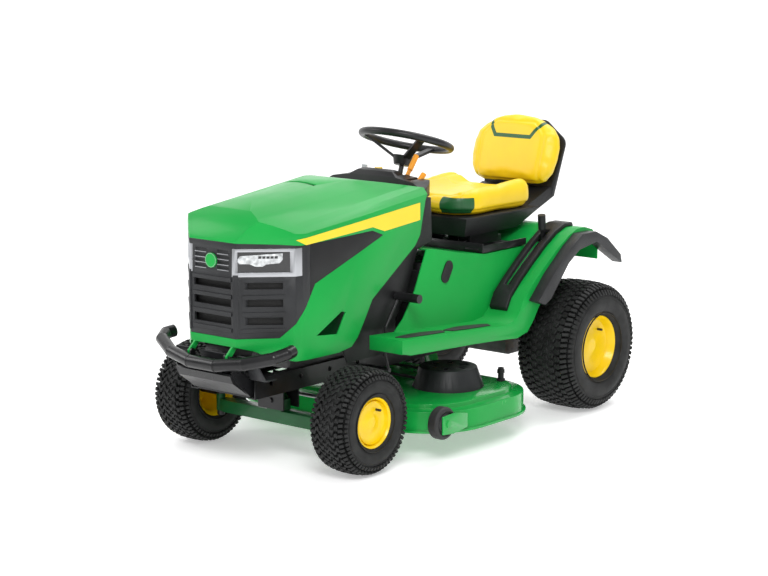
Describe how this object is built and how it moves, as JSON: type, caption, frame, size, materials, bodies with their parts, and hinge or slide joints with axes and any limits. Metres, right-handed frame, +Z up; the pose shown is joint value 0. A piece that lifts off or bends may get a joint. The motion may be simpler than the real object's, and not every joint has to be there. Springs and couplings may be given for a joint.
{
  "type": "riding lawn mower",
  "caption": "Ride-on lawn tractor with opening hood, pivoting steered front axle, tilting seat, foot pedals and a lifting mower deck with blades and side discharge.",
  "frame": {"origin": "on the ground, on the centreline, under the middle of the rear axle", "axes": "+Z up, -Y to the front of the tractor, +X to the tractor's left; the tractor stands on z = 0"},
  "size_m": [1.232, 1.9272, 1.1277],
  "materials": {
    "frame": "semi-gloss black paint",
    "green_paint": "bright green gloss paint",
    "green_plastic": "bright green moulded bodywork",
    "deep_green": "dark green paint",
    "yellow_paint": "yellow gloss paint",
    "yellow_band": "yellow decal strip",
    "seat_vinyl": "grained yellow vinyl",
    "black_plastic": "textured black plastic",
    "charcoal_plastic": "dark grey plastic",
    "tyre": "turf tyre rubber",
    "rubber": "black rubber",
    "steel": "zinc-plated steel",
    "cast": "cast housing, partly blackened",
    "bezel": "silver bezel",
    "lens": "clear lens",
    "orange_plastic": "orange moulded lever",
    "tank_plastic": "blow-moulded tank"
  },
  "bodies": {
    "chassis": {"frame_rails": "frame", "transaxle": "cast", "hitch_plate": "frame", "engine": "cast", "battery": "tank_plastic", "fuel_tank": "tank_plastic", "fender_pan": "green_plastic", "foot_pads": "rubber", "fuel_window": "black_plastic", "dash_tower": "charcoal_plastic", "dash_panel": "black_plastic", "steering_column": "frame", "bumper": "frame", "bumper_cover": "charcoal_plastic", "lift_console": "black_plastic", "rear_grabs": "black_plastic"},
    "hood": {"hood_shell": "green_plastic", "grille": "charcoal_plastic", "badge": "green_plastic", "headlight_bezels": "bezel", "headlight_lenses": "lens", "side_panels": "black_plastic", "hood_bands": "yellow_band"},
    "front_axle": {"axle_beam": "deep_green"},
    "steering_knuckle_left": {"knuckle_left": "frame"},
    "steering_knuckle_right": {"knuckle_right": "frame"},
    "steering_link": {"tie_rod": "steel"},
    "front_wheel_left": {"tyre_front_left": "tyre", "rim_front_left": "yellow_paint"},
    "front_wheel_right": {"tyre_front_right": "tyre", "rim_front_right": "yellow_paint"},
    "rear_wheel_left": {"tyre_rear_left": "tyre", "rim_rear_left": "yellow_paint", "axle_shaft_left": "steel"},
    "rear_wheel_right": {"tyre_rear_right": "tyre", "rim_rear_right": "yellow_paint", "axle_shaft_right": "steel"},
    "steering": {"steering_wheel": "black_plastic"},
    "seat_base": {"seat_plate": "frame"},
    "seat": {"seat_shell": "black_plastic", "seat_cushion": "seat_vinyl", "seat_backrest": "seat_vinyl"},
    "brake": {"brake_pedal": "frame"},
    "forward_drive": {"forward_pedal": "frame"},
    "reverse_drive": {"reverse_pedal": "frame"},
    "deck_lever": {"lift_lever": "black_plastic"},
    "parking_brake": {"park_lever": "orange_plastic"},
    "cruise": {"cruise_lever": "orange_plastic"},
    "pto_switch": {"pto_knob": "black_plastic"},
    "ignition": {"ignition_key": "steel"},
    "mower_deck": {"deck_shell": "green_paint", "spindle_covers": "charcoal_plastic", "deck_belt": "rubber", "wash_port": "black_plastic"},
    "cutter_left": {"blade_left": "steel"},
    "cutter_right": {"blade_right": "steel"},
    "gauge_left": {"gauge_wheel_left": "rubber"},
    "gauge_right": {"gauge_wheel_right": "rubber"},
    "chute": {"discharge_chute": "black_plastic"},
    "lift_arms": {"lift_shaft": "deep_green"}
  },
  "joints": [
    {"name": "hood_hinge", "type": "hinge", "parent": "chassis", "child": "hood", "pos_m": [0, -1.622, 0.423], "axis": [1, 0, 0], "range_deg": [0, 60]},
    {"name": "axle_pivot", "type": "hinge", "parent": "chassis", "child": "front_axle", "pos_m": [0, -1.28, 0.208], "axis": [0, 1, 0], "range_deg": [-5, 5]},
    {"name": "kingpin_left", "type": "hinge", "parent": "front_axle", "child": "steering_knuckle_left", "pos_m": [0.283, -1.28, 0.152], "axis": [0, 0, 1], "range_deg": [-28, 28]},
    {"name": "kingpin_right", "type": "hinge", "parent": "front_axle", "child": "steering_knuckle_right", "pos_m": [-0.283, -1.28, 0.152], "axis": [0, 0, 1], "range_deg": [-28, 28]},
    {"name": "tie_rod_pin", "type": "hinge", "parent": "steering_knuckle_left", "child": "steering_link", "pos_m": [0.283, -1.19, 0.226], "axis": [0, 0, 1], "range_deg": [-28, 28]},
    {"name": "front_left_spin", "type": "hinge", "parent": "steering_knuckle_left", "child": "front_wheel_left", "pos_m": [0.372, -1.28, 0.1865], "axis": [1, 0, 0], "continuous": true},
    {"name": "front_right_spin", "type": "hinge", "parent": "steering_knuckle_right", "child": "front_wheel_right", "pos_m": [-0.372, -1.28, 0.1865], "axis": [1, 0, 0], "continuous": true},
    {"name": "rear_left_spin", "type": "hinge", "parent": "chassis", "child": "rear_wheel_left", "pos_m": [0.386, 0, 0.25], "axis": [1, 0, 0], "continuous": true},
    {"name": "rear_right_spin", "type": "hinge", "parent": "chassis", "child": "rear_wheel_right", "pos_m": [-0.386, 0, 0.25], "axis": [1, 0, 0], "continuous": true},
    {"name": "steering_shaft_turn", "type": "hinge", "parent": "chassis", "child": "steering", "pos_m": [0, -0.568, 1.058], "axis": [0, 0.2924, 0.9563], "range_deg": [-200, 200]},
    {"name": "seat_tilt", "type": "hinge", "parent": "chassis", "child": "seat_base", "pos_m": [0, -0.443, 0.655], "axis": [1, 0, 0], "range_deg": [0, 32]},
    {"name": "seat_adjust", "type": "slide", "parent": "seat_base", "child": "seat", "axis": [0, 1, 0], "range_m": [-0.025, 0.055]},
    {"name": "brake_pivot", "type": "hinge", "parent": "chassis", "child": "brake", "pos_m": [0.2, -0.975, 0.292], "axis": [1, 0, 0], "range_deg": [0, 18], "stiffness_Nm_per_rad": 20, "springref_deg": -2.86},
    {"name": "forward_pivot", "type": "hinge", "parent": "chassis", "child": "forward_drive", "pos_m": [-0.2, -1.02, 0.292], "axis": [1, 0, 0], "range_deg": [-8, 10], "stiffness_Nm_per_rad": 20},
    {"name": "reverse_pivot", "type": "hinge", "parent": "chassis", "child": "reverse_drive", "pos_m": [-0.2, -0.94, 0.292], "axis": [1, 0, 0], "range_deg": [-10, 8], "stiffness_Nm_per_rad": 20},
    {"name": "deck_lift", "type": "slide", "parent": "chassis", "child": "mower_deck", "axis": [0, 0, 1], "range_m": [-0.078, 0]},
    {"name": "lift_lever_pivot", "type": "hinge", "parent": "chassis", "child": "deck_lever", "pos_m": [0.238, -0.07, 0.372], "axis": [1, 0, 0], "range_deg": [0, 45]},
    {"name": "lift_arm_pivot", "type": "hinge", "parent": "chassis", "child": "lift_arms", "pos_m": [0, -0.47, 0.302], "axis": [1, 0, 0], "range_deg": [0, 45]},
    {"name": "parking_brake_pivot", "type": "hinge", "parent": "chassis", "child": "parking_brake", "pos_m": [0.092, -0.715, 0.895], "axis": [1, 0, 0], "range_deg": [0, 25]},
    {"name": "cruise_pivot", "type": "hinge", "parent": "chassis", "child": "cruise", "pos_m": [0.15, -0.715, 0.895], "axis": [1, 0, 0], "range_deg": [0, 30]},
    {"name": "pto_pull", "type": "slide", "parent": "chassis", "child": "pto_switch", "axis": [0, 0, 1], "range_m": [0, 0.012]},
    {"name": "key_turn", "type": "hinge", "parent": "chassis", "child": "ignition", "pos_m": [-0.125, -0.66, 0.936], "axis": [0, 0, 1], "range_deg": [0, 90]},
    {"name": "cutter_left_spin", "type": "hinge", "parent": "mower_deck", "child": "cutter_left", "pos_m": [0.262, -0.655, 0.2], "axis": [0, 0, 1], "continuous": true},
    {"name": "cutter_right_spin", "type": "hinge", "parent": "mower_deck", "child": "cutter_right", "pos_m": [-0.262, -0.655, 0.2], "axis": [0, 0, 1], "continuous": true},
    {"name": "gauge_left_spin", "type": "hinge", "parent": "mower_deck", "child": "gauge_left", "pos_m": [0.505, -0.995, 0.143], "axis": [1, 0, 0], "continuous": true},
    {"name": "gauge_right_spin", "type": "hinge", "parent": "mower_deck", "child": "gauge_right", "pos_m": [-0.505, -0.995, 0.143], "axis": [1, 0, 0], "continuous": true},
    {"name": "chute_hinge", "type": "hinge", "parent": "mower_deck", "child": "chute", "pos_m": [-0.532, -0.7, 0.164], "axis": [0, 1, 0], "range_deg": [0, 75]}
  ],
  "couplings": [
    {"joint": "kingpin_right", "follows": "kingpin_left", "ratio": 1},
    {"joint": "tie_rod_pin", "follows": "kingpin_left", "ratio": -1},
    {"joint": "steering_shaft_turn", "follows": "kingpin_left", "ratio": 7},
    {"joint": "reverse_pivot", "follows": "forward_pivot", "ratio": -1},
    {"joint": "lift_lever_pivot", "follows": "deck_lift", "rad_per_m": -10},
    {"joint": "lift_arm_pivot", "follows": "deck_lift", "rad_per_m": -10},
    {"joint": "cutter_right_spin", "follows": "cutter_left_spin", "ratio": 1}
  ]
}
